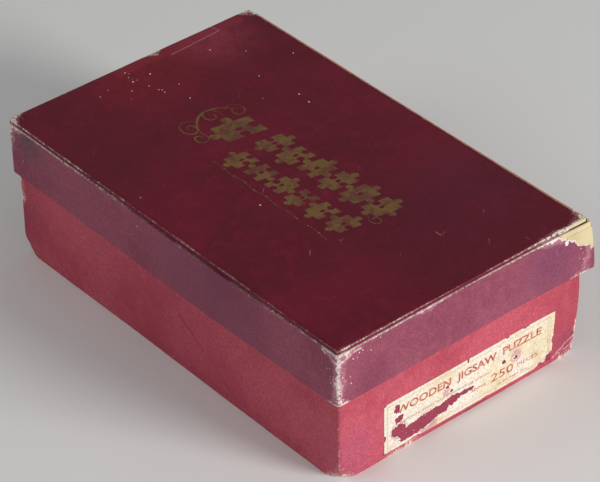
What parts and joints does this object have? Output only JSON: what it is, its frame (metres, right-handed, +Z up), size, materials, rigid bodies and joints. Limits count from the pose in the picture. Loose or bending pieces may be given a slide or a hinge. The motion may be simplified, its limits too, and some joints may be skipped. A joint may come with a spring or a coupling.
{
  "type": "boxed jigsaw puzzle",
  "caption": "Paper-covered chipboard box with a lift-off lid and a label on one end, holding a loose heap of interlocking plywood jigsaw pieces",
  "frame": {"origin": "middle of the underside of the tray", "axes": "+X along the long sides towards the labelled end, +Y along the short ends, +Z up through the lid"},
  "size_m": [0.23, 0.143, 0.074],
  "materials": {
    "chipboard": "matt grey-cream pulp board",
    "gummed_paper": "matt brown kraft",
    "tray_paper": "crimson, semi-matt, scuffed",
    "underside_paper": "dull crimson, rubbed",
    "apron_paper": "faded maroon, semi-matt, worn at the corners",
    "top_paper": "dark maroon, glazed, faintly mottled, stamped in dull gold",
    "label_paper": "aged cream, matt, torn, printed in red-brown",
    "plywood": "sawn birch plywood with a varnished printed picture on one face"
  },
  "bodies": {
    "tray": {"end_label": "label_paper", "puzzle_row_01_left": "plywood", "puzzle_row_01_right": "plywood", "puzzle_row_02_left": "plywood", "puzzle_row_02_right": "plywood", "puzzle_row_03_left": "plywood", "puzzle_row_03_right": "plywood", "puzzle_row_04_left": "plywood", "puzzle_row_04_right": "plywood", "puzzle_row_05_left": "plywood", "puzzle_row_05_right": "plywood", "puzzle_row_06_left": "plywood", "puzzle_row_06_right": "plywood", "puzzle_row_07_left": "plywood", "puzzle_row_07_right": "plywood", "puzzle_row_08_left": "plywood", "puzzle_row_08_right": "plywood", "puzzle_row_09_left": "plywood", "puzzle_row_09_right": "plywood", "puzzle_row_10_left": "plywood", "puzzle_row_10_right": "plywood", "puzzle_row_11_left": "plywood", "puzzle_row_11_right": "plywood", "puzzle_row_12_left": "plywood", "puzzle_row_12_right": "plywood", "puzzle_row_13_left": "plywood", "puzzle_row_13_right": "plywood", "puzzle_row_14_left": "plywood", "puzzle_row_14_right": "plywood", "tray_board": "chipboard", "tray_bottom_paper": "underside_paper", "tray_corner_stay_1": "gummed_paper", "tray_corner_stay_2": "gummed_paper", "tray_corner_stay_3": "gummed_paper", "tray_corner_stay_4": "gummed_paper", "tray_wrap": "tray_paper"},
    "lid": {"lid_apron_board": "chipboard", "lid_apron_wrap": "apron_paper", "lid_corner_stay_1": "gummed_paper", "lid_corner_stay_2": "gummed_paper", "lid_corner_stay_3": "gummed_paper", "lid_corner_stay_4": "gummed_paper", "lid_top_board": "chipboard", "lid_top_sheet": "top_paper"},
    "loose_1": {"loose_piece_1": "plywood"},
    "loose_2": {"loose_piece_2": "plywood"},
    "loose_3": {"loose_piece_3": "plywood"},
    "loose_4": {"loose_piece_4": "plywood"},
    "loose_5": {"loose_piece_5": "plywood"},
    "loose_6": {"loose_piece_6": "plywood"},
    "loose_7": {"loose_piece_7": "plywood"},
    "loose_8": {"loose_piece_8": "plywood"}
  },
  "joints": [
    {"name": "lid_lift", "type": "slide", "parent": "tray", "child": "lid", "axis": [0, 0, 1], "range_m": [0, 0.2]},
    {"name": "loose_1_lift", "type": "slide", "parent": "tray", "child": "loose_1", "axis": [0, 0, 1], "range_m": [0, 0.026]},
    {"name": "loose_2_lift", "type": "slide", "parent": "tray", "child": "loose_2", "axis": [0, 0, 1], "range_m": [0, 0.021]},
    {"name": "loose_3_lift", "type": "slide", "parent": "tray", "child": "loose_3", "axis": [0, 0, 1], "range_m": [0, 0.025]},
    {"name": "loose_4_lift", "type": "slide", "parent": "tray", "child": "loose_4", "axis": [0, 0, 1], "range_m": [0, 0.026]},
    {"name": "loose_5_lift", "type": "slide", "parent": "tray", "child": "loose_5", "axis": [0, 0, 1], "range_m": [0, 0.025]},
    {"name": "loose_6_lift", "type": "slide", "parent": "tray", "child": "loose_6", "axis": [0, 0, 1], "range_m": [0, 0.026]},
    {"name": "loose_7_lift", "type": "slide", "parent": "tray", "child": "loose_7", "axis": [0, 0, 1], "range_m": [0, 0.022]},
    {"name": "loose_8_lift", "type": "slide", "parent": "tray", "child": "loose_8", "axis": [0, 0, 1], "range_m": [0, 0.026]}
  ]
}
